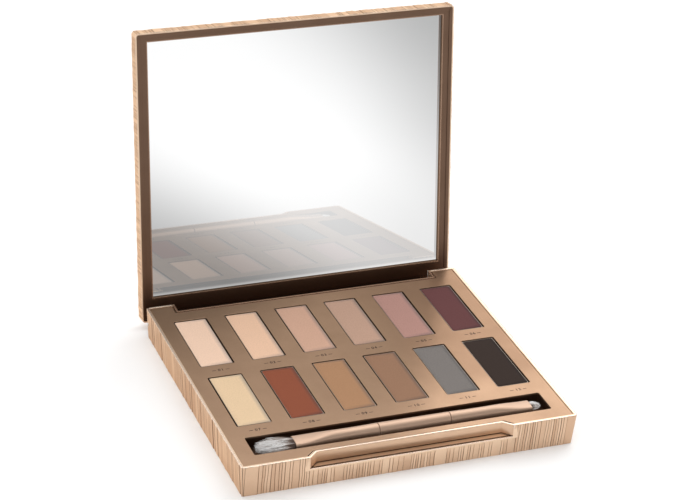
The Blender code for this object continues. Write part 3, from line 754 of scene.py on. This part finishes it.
pan_low, pan_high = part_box("pan_01")
opening_width, opening_length = (high - low + PAN_ROOM for low, high in zip(pan_low[:2], pan_high[:2]))
rows = [sum(corner[1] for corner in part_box(f"pan_{number:02d}")) / 2 for number in (1, 7)]
spots = [((column - 2.5) * PAN_PITCH, y) for y in rows for column in range(6)]
notched = notch_corners(1.5 * MM)
reach = (FRONT + TRAY_EDGE - notched[0][1]) * NOTCH_SLANT / NOTCH_DEPTH
notched[0] = (notched[0][0] + reach, FRONT + TRAY_EDGE)
notched[3] = (notched[3][0] - reach, FRONT + TRAY_EDGE)
wing, shoulder, rear = RECESS_HALF + 1.8 * MM, RECESS_FRONT - 1.3 * MM, BACK - TRAY_EDGE
plate = rounded_rectangle(CASE_WIDTH - 2 * TRAY_EDGE, CASE_DEPTH - 2 * TRAY_EDGE, 0.5 * MM)
plate = (
    plate[:quarter] + notched + plate[quarter:3 * quarter]
    + [(wing, rear), (wing, shoulder), (-wing, shoulder), (-wing, rear)] + plate[3 * quarter:]
)
holes = [hole(0, TROUGH_Y, TROUGH_LENGTH, TROUGH_WIDTH, TROUGH_CORNER)]
holes += [hole(*spot, opening_width, opening_length, PAN_CORNER) for spot in spots]
tray_face = flat_plate(
    "tray_face", [plate, *holes], TRAY_TOP - PLATE_SKIN, TRAY_TOP + PLATE_LIFT, PLATE_ROUND, tray_gold
)
on_base(tray_face)


# Pan numbers: a small number between two dashes, printed in dark brown ink on the tray in front of each
# pan, to tell the shades apart.
LABEL_AHEAD, CAP_HEIGHT, CAP_SHARE, INK_THICK = 4.9 * MM, 1.9 * MM, 0.7, 0.01 * MM
DASH_LENGTH, DASH_WIDTH, DASH_ASIDE = 2.0 * MM, 0.34 * MM, 3.5 * MM
ink, start, shader = new_finish("label_ink", Specular_IOR_Level=0.2)
wear = start.noise(1800, 3)
feed(
    start, shader,
    Base_Color=start.mixed(wear, (0.02, 0.01, 0.007), (0.05, 0.026, 0.018)), Roughness=wear * 0.2 + 0.5,
)
bm = bmesh.new()
for number, (x, y) in enumerate(spots, 1):
    text = bpy.data.curves.new("number", "FONT")
    text.body, text.size, text.space_character = f"{number:02d}", CAP_HEIGHT / CAP_SHARE, 1.25
    text.align_x, text.align_y, text.extrude, text.offset = "CENTER", "CENTER", INK_THICK, 0.05 * MM
    guide = as_object("number", text)
    mesh = plain_mesh(guide)
    bpy.data.objects.remove(guide)
    middle = Vector((x, y - opening_length / 2 - LABEL_AHEAD, TRAY_TOP + 0.05 * MM))
    mesh.transform(Matrix.Translation(middle))
    bm.from_mesh(mesh)
    for side in (-1, 1):
        dash = bmesh.ops.create_cube(bm, size=1)["verts"]
        size = Matrix.Diagonal((DASH_LENGTH, DASH_WIDTH, 2 * INK_THICK, 1))
        aside = Vector((side * DASH_ASIDE, 0, 0))
        bmesh.ops.transform(bm, matrix=Matrix.Translation(middle + aside) @ size, verts=dash)
on_base(finished("tray_numbers", bm, ink))


# Pans: twelve tinplate pans, drawn from thin sheet and pushed into the tray. They are bright on the
# rolled rim and near black lower down, which is painted shade in the gaps round the powders.
PAN_TOP = pan_high[2]
tin, start, shader = new_finish("pan_tin", Metallic=0.9)
drawn = start.noise(900, 2, (1, 1, 0.1))
bare = start.mixed(drawn, (0.26, 0.21, 0.17), (0.40, 0.33, 0.28))
# Below the rim the tin is painted near black: painted shade.
rim = start.here().parts()[2].ramp(PAN_TOP - 0.5 * MM, PAN_TOP - 0.1 * MM)
feed(
    start, shader,
    Base_Color=start.mixed(rim, (0.03, 0.02, 0.016), bare),
    Roughness=drawn * 0.2 + 0.35, Normal=start.bump(drawn, 0.01 * MM),
)
refinish(tin, *[f"pan_{number:02d}" for number in range(1, 13)])


# Powders: pressed flat through a fine cloth, so each keeps a faint weave, and softly rounded at the
# shoulders, which are a little greyer where the powder is thin and greyer still on the right, as painted
# shade. Some of the shades shimmer.
SHADES = (
    (0.88, 0.615, 0.46), (0.82, 0.54, 0.375), (0.62, 0.38, 0.275), (0.51, 0.325, 0.24),
    (0.445, 0.25, 0.21), (0.135, 0.052, 0.052), (0.77, 0.565, 0.36), (0.27, 0.08, 0.042),
    (0.41, 0.225, 0.122), (0.305, 0.17, 0.105), (0.20, 0.18, 0.168), (0.040, 0.026, 0.021),
)
SHIMMER = {4: 0.12, 5: 0.25, 6: 0.2, 11: 0.35}
# Rings of a cake from the outside in: how far each is inset, and how far above the pan's rim, in mm
SHOULDERS = ((0.25, 0.0), (0.0, 0.02), (0.04, 0.07), (0.3, 0.13), (0.8, 0.195), (1.5, 0.235), (2.4, 0.25))
CAKE_LAP, CAKE_FOOT_INSET, RIGHT_SHADE_BAND = 0.5 * MM, 0.5 * MM, 3 * MM


def pressed_cake(name, low, high, material):
    """A cake that fills its pan and laps onto the rim, with a top that falls away gently at the edges."""
    bm = bmesh.new()
    edge, right = bm.verts.layers.float.new("edge"), bm.verts.layers.float.new("right")
    width, length = (high[axis] - low[axis] + 2 * CAKE_LAP for axis in range(2))
    middle = [(high[axis] + low[axis]) / 2 for axis in range(2)]
    softest = SHOULDERS[-1][0] * MM
    rings = []
    levels = [(CAKE_FOOT_INSET, low[2]), *[(inset * MM, PAN_TOP + up * MM) for inset, up in SHOULDERS]]
    for inset, z in levels:
        corner_radius = max(PAN_CORNER - 0.3 * inset, 0.4 * MM)
        ring = []
        for x, y in rounded_rectangle(width - 2 * inset, length - 2 * inset, corner_radius):
            corner = bm.verts.new((x + middle[0], y + middle[1], z))
            corner[edge] = 1 - min(inset / softest, 1)
            corner[right] = float(x > width / 2 - RIGHT_SHADE_BAND)
            ring.append(corner)
        rings.append(ring)
    skin(bm, rings)
    bm.faces.new(rings[0])
    bm.faces.new(rings[-1])
    return finished(name, bm, material, 50)


for number, shade in enumerate(SHADES, 1):
    powder, start, shader = new_finish(f"shade_{number:02d}", Roughness=0.85, Specular_IOR_Level=0.12)
    grain, cloud = start.noise(1500, 4), start.noise(90, 2)
    weave = start.node(
        "ShaderNodeTexWave", {"bands_direction": "DIAGONAL"},
        {"Vector": start.here(), "Scale": 420, "Distortion": 1.5}, "Fac"
    )
    light = tuple(min(1, 1.16 * part) for part in shade)
    dark = tuple(0.76 * part for part in shade)
    dust_and_shade = tuple(0.38 * part + 0.22 * sum(shade) / 3 for part in shade)
    # Greyer at the shoulders all round where the powder is thin, and more on the right side: painted shade.
    thin = start.mark("edge") * start.mark("right") * 0.8 + start.mark("edge") * 0.1
    feed(
        start, shader,
        Base_Color=start.mixed(thin, start.mixed((grain * 0.85 + cloud * 0.15).clamped(), light, dark), dust_and_shade),
        Metallic=(grain > 0.6) * SHIMMER.get(number, 0.0),
        Normal=start.bump(grain * 0.6 + weave * 0.4, 0.05 * MM),
    )
    cake = pressed_cake(f"pressed_powder_{number:02d}", *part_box(f"powder_{number:02d}"), powder)
    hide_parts(f"powder_{number:02d}")
    on_base(cake)


# Brush: two drawn aluminium ferrules, crimped flat at the mouths, meet a sleeve at fine seams. All three
# are anodised rose gold, with a soft satin that runs along them.
BRUSH_Y, BRUSH_Z, BRUSH_RADIUS = TROUGH_Y, 14.8 * MM, 3.5 * MM
SEAM_EDGE, WAIST = 0.12 * MM, 0.06
MOUTHS = {"fluffy": (4.5 * MM, 2.0 * MM), "short": (3.9 * MM, 1.8 * MM)}
TURNED_STEPS, FERRULE_STEPS = 48, 24
brush_gold, start, shader = new_finish("brush_metal", Metallic=0.62)
brushed = start.noise(500, 3, (0.06, 1, 1))
feed(
    start, shader,
    Base_Color=start.mixed(brushed, (0.66, 0.46, 0.335), (0.52, 0.35, 0.25)),
    Roughness=brushed * 0.14 + 0.38, Normal=start.bump(brushed, 0.004 * MM),
)
refinish(brush_gold, "brush_core")


def turned(name, stations, material):
    """A closed skin through sections across x, each its x, half width, half height and squareness."""
    bm = bmesh.new()
    rings = []
    for x, wide, high, square in stations:
        ring = []
        for step in range(TURNED_STEPS):
            turn = math.tau * step / TURNED_STEPS
            circle = (math.cos(turn), math.sin(turn))
            y, z = (math.copysign(abs(part) ** (2 / square), part) for part in circle)
            ring.append(bm.verts.new((x, BRUSH_Y + wide * y, BRUSH_Z + high * z)))
        rings.append(ring)
    skin(bm, rings)
    bm.faces.new(rings[0])
    bm.faces.new(rings[-1])
    return finished(name, bm, material, 40)


def on_brush(piece, node):
    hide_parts(node)
    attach(piece, "brush")


low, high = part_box("brush_sleeve")
sleeve = [
    (low[0], BRUSH_RADIUS - SEAM_EDGE), (low[0] + SEAM_EDGE, BRUSH_RADIUS),
    (high[0] - SEAM_EDGE, BRUSH_RADIUS), (high[0], BRUSH_RADIUS - SEAM_EDGE),
]
on_brush(turned("brush_grip", [(x, size, size, 2) for x, size in sleeve], brush_gold), "brush_sleeve")
mouth_places = {}
for name, outward in (("fluffy", -1), ("short", 1)):
    low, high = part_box(f"brush_ferrule_{name}")
    seam, end = (high[0], low[0]) if outward < 0 else (low[0], high[0])
    wide, thin = MOUTHS[name]
    stations = [(seam, BRUSH_RADIUS - SEAM_EDGE, BRUSH_RADIUS - SEAM_EDGE, 2)]
    for step in range(FERRULE_STEPS + 1):
        along = step / FERRULE_STEPS
        ease = min(max((along - 0.5) / 0.46, 0), 1)
        crimp = ease * ease * (3 - 2 * ease)
        waist = 1 - WAIST * math.sin(math.pi * min(along / 0.7, 1))
        half_sizes = [(BRUSH_RADIUS + (size - BRUSH_RADIUS) * crimp) * waist for size in (wide, thin)]
        x = seam + outward * (SEAM_EDGE + (abs(end - seam) - 2 * SEAM_EDGE) * along)
        stations.append((x, *half_sizes, 2 + 1.2 * crimp))
    # The lip turns in at the mouth, and the skin goes a little way back inside.
    for back, inner in ((0, 0.12 * MM), (0, 0.4 * MM), (3 * MM, 0.5 * MM)):
        stations.append((end - outward * back, wide - inner, thin - inner, 3.2))
    on_brush(turned(f"brush_ferrule_skin_{name}", stations, brush_gold), f"brush_ferrule_{name}")
    mouth_places[name] = end


# Bristles: fine synthetic hair, dark at the roots and white at the tips, held in the crimped mouths. The
# long tuft is fluffy and domed, and the short one is dense, for smudging.
ROOT_DEPTH, HAIR_THICK = 2 * MM, 0.1 * MM
hair, start, shader = new_finish("bristle_fibre", Roughness=0.55)
streak = start.noise(420, 3, (0.1, 1, 1))
fade = (start.mark("along") + 0.05 + (start.mark("tone") - 0.5) * 0.5 + (streak - 0.5) * 1.7).clamped()
colour = start.node("ShaderNodeValToRGB", {"stops": (
    (0.0, (0.03, 0.015, 0.009)), (0.42, (0.11, 0.06, 0.04)), (0.60, (0.34, 0.25, 0.20)),
    (0.76, (0.84, 0.81, 0.79)), (1.0, (0.99, 0.98, 0.97)),
)}, {"Fac": fade}, "Color")
feed(start, shader, Base_Color=colour)


def tuft_tree():
    """Hairs whose roots fill a flat oval, each bending its own way as it leaves the mouth."""
    tree, given = geometry_tree("tuft", {
        "Count": "Int", "Mouth": "Vector", "Half Width": "Float", "Half Height": "Float", "Length": "Float",
        "Outward": "Float", "Swell": "Float", "Dome": "Float", "Stray": "Float", "Thickness": "Float",
        "Seed": "Int", "Material": "Material",
    })
    turn, out = chance(given, 1, 0.0, math.tau), chance(given, 2).math("SQRT", chance(given, 2))
    trim = 1.0 - given.other("Dome") * out * out * out
    points = kept(
        given.node("GeometryNodePoints", {}, {"Count": given.other("Count")}),
        across=out * turn.math("COSINE", turn), up=out * turn.math("SINE", turn),
        reach=given.other("Length") * trim * chance(given, 3, 0.86, 1.0), tone=chance(given, 4),
        drift_y=chance(given, 5, -1.0, 1.0), drift_z=chance(given, 6, -1.0, 1.0),
    )
    blank = given.node(
        "GeometryNodeMeshCylinder", {"fill_type": "NGON"},
        {"Vertices": 4, "Side Segments": 6, "Radius": 1.0, "Depth": 1.0}, "Mesh"
    )
    x, y, z = given.node("GeometryNodeInputPosition").parts()
    t = z + 0.5
    solid = kept(copies(points, blank), along=t)
    thick = given.other("Thickness") * (1.0 - t * t * 0.65)
    swell = 1.0 + given.other("Swell") * t.math("SINE", t * 2.6)
    stray = given.other("Stray")
    y_place = own(given, "across") * given.other("Half Width") * swell
    y_place = y_place + own(given, "drift_y") * stray * t * t + x * thick
    z_place = own(given, "up") * given.other("Half Height") * (1.0 + (swell - 1.0) * 2.2)
    z_place = z_place + own(given, "drift_z") * stray * 0.6 * t * t + y * thick
    x_place = given.other("Outward") * own(given, "reach") * t
    place = given.node("ShaderNodeCombineXYZ", {}, {"X": x_place, "Y": y_place, "Z": z_place})
    place = given.node("ShaderNodeVectorMath", {"operation": "ADD"}, {0: place, 1: given.other("Mouth")})
    close_tree(given, solid, place, True)
    return tree


tuft = tuft_tree()
for name, outward, count, length, swell, dome, stray, seed in (
    ("fluffy", -1.0, 1500, 19.8 * MM, 0.34, 0.36, 1.5 * MM, 5),
    ("short", 1.0, 700, 5.9 * MM, 0.02, 0.4, 0.15 * MM, 9),
):
    wide, thin = MOUTHS[name]
    title = f"bristle_tuft_{name}"
    strands = grown(title, bpy.data.meshes.new(title), tuft, {
        "Count": count, "Mouth": (mouth_places[name] - outward * ROOT_DEPTH, BRUSH_Y, BRUSH_Z),
        "Half Width": wide - 0.6 * MM, "Half Height": thin - 0.6 * MM, "Length": length + ROOT_DEPTH,
        "Outward": outward, "Swell": swell, "Dome": dome, "Stray": stray, "Thickness": HAIR_THICK,
        "Seed": seed, "Material": hair,
    })
    on_brush(strands, f"brush_bristles_{name}")


# Lid frame: a moulding that holds the mirror, with a fine bevelled lip round the glass. Its dark brown is
# painted shade on the case's finish, darker still towards the bottom, and the lip is lighter, a painted
# highlight. It reaches out over the lid's wall to the rim. The hinge tongue below it is painted as dark, as
# painted shade.
FRAME_REACH = 2.4 * MM
WINDOW_SIDE, WINDOW_LOW, WINDOW_HIGH = 81.3 * MM, -73.7 * MM, 65.3 * MM
# The frame's dark colour is painted shade, darker still towards the bottom.
frame_shade_finish = tinted(
    metallised("frame_bronze", (0.16, 0.097, 0.066), (0.12, 0.07, 0.045), 0.42, 0.03 * MM),
    (0.075, 0.038, 0.023), lambda x, y, z: 1.0 - z.ramp(14 * MM, 34 * MM),
)
refinish(frame_shade_finish, "lid_frame")
frame_edge = swept("frame_edge", loop, rounded_bar(
    -FRAME_REACH, -LID_RIM_WIDTH - 0.01 * MM, LID_LOW - 0.5 * RIM_LIFT, LID_LOW + 0.4 * MM, 0.1 * MM
), frame_shade_finish)
open_with_lid(frame_edge)
# The lip is a lighter copy of the frame's colour: a painted highlight.
bezel_painted_light = metallised("bezel_painted_light", (0.34, 0.22, 0.155), (0.24, 0.15, 0.10), 0.26, 0.01 * MM)
window = [
    (-WINDOW_SIDE, WINDOW_LOW), (WINDOW_SIDE, WINDOW_LOW),
    (WINDOW_SIDE, WINDOW_HIGH), (-WINDOW_SIDE, WINDOW_HIGH),
]
mirror_bezel = swept("mirror_bezel", window, rounded_bar(
    0.02 * MM, 0.62 * MM, LID_LOW + 0.3 * MM, LID_LOW + 1.2 * MM, 0.15 * MM
), bezel_painted_light)
open_with_lid(mirror_bezel)
# The hinge tongue is painted dark, as the frame is: painted shade.
lid_gold = tinted(
    metallised("lid_metallised", GOLD, GOLD_SHADE, 0.34, 0.02 * MM), (0.11, 0.062, 0.04),
    lambda x, y, z: (z < HINGE_Z + 3 * MM) * (abs(x) < RECESS_HALF - 0.4 * MM) * (y < 90 * MM),
)
refinish(lid_gold, "lid_shell")


# Mirror: silvered float glass. The bright room it throws back is a painted reflection, shining from the glass
# as emission: milky towards the lower right, a little grey in the upper right corner, and bright along its
# foot.
glass_low, glass_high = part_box("mirror")
mirror_glass, start, shader = new_finish(
    "mirror_silvered", Metallic=1.0, Roughness=0.02, Emission_Strength=1.0
)
x, _, z = start.here().parts()
across = (x - glass_low[0]) / (glass_high[0] - glass_low[0])
up = (z - glass_low[2]) / (glass_high[2] - glass_low[2])
# From here on, the glass's emission paints its reflection of the room and dims its real one.
painted_haze = 0.74 - up.ramp(0.4, 0.8) * 0.14
upper_right = (across + up * 0.9).ramp(1.1, 1.95)
lower_left = (1.065 - up * 1.2 - across * 0.9).ramp(0.22, 0.82)
lower_dimming = 1.0 - (1.0 - up.ramp(0.1, 0.5)) * 0.14
glow_mottle = start.noise(14, 2) * 0.03 + 1.03
painted_glow = painted_haze * (1.0 - upper_right * 0.82) * (1.0 - lower_left * 0.66) * lower_dimming * glow_mottle
painted_glow = painted_glow * (1.0 - across.ramp(0.6, 1.0) * 0.15)
# A painted highlight along the foot of the glass.
painted_foot_highlight = (1.0 - up.ramp(0.006, 0.022)) * 0.25
feed(
    start, shader,
    Base_Color=start.mixed(painted_haze, (0.88, 0.885, 0.885), (0.0, 0.0, 0.0)),
    Emission_Color=start.mixed((painted_glow + painted_foot_highlight).clamped(), (0.0, 0.0, 0.0), (1.0, 1.0, 1.0)),
)
refinish(mirror_glass, "mirror")


# Hidden fittings: the foam tape that holds the mirror, the nickel-plated closing magnets and the steel
# hinge pins, pressed in from the sides.
foam, start, shader = new_finish("foam_tape", Roughness=0.9)
cells = start.noise(1500, 3)
feed(
    start, shader,
    Base_Color=start.mixed(cells, (0.8, 0.79, 0.75), (0.6, 0.59, 0.55)), Normal=start.bump(cells, 0.05 * MM),
)
refinish(foam, "mirror_adhesive")
for title, light, dark, nodes in (
    ("magnet_nickel", (0.62, 0.6, 0.57), (0.5, 0.48, 0.46),
     ("base_magnet_left", "base_magnet_right", "lid_magnet_left", "lid_magnet_right")),
    ("pin_steel", (0.42, 0.40, 0.39), (0.28, 0.27, 0.27), ("hinge_pin_left", "hinge_pin_right")),
):
    metal, start, shader = new_finish(title, Metallic=1.0)
    drawn = start.noise(1200, 3, (0.1, 1, 1))
    feed(
        start, shader,
        Base_Color=start.mixed(drawn, light, dark), Roughness=drawn * 0.2 + 0.25,
        Normal=start.bump(drawn, 0.005 * MM),
    )
    refinish(metal, *nodes)
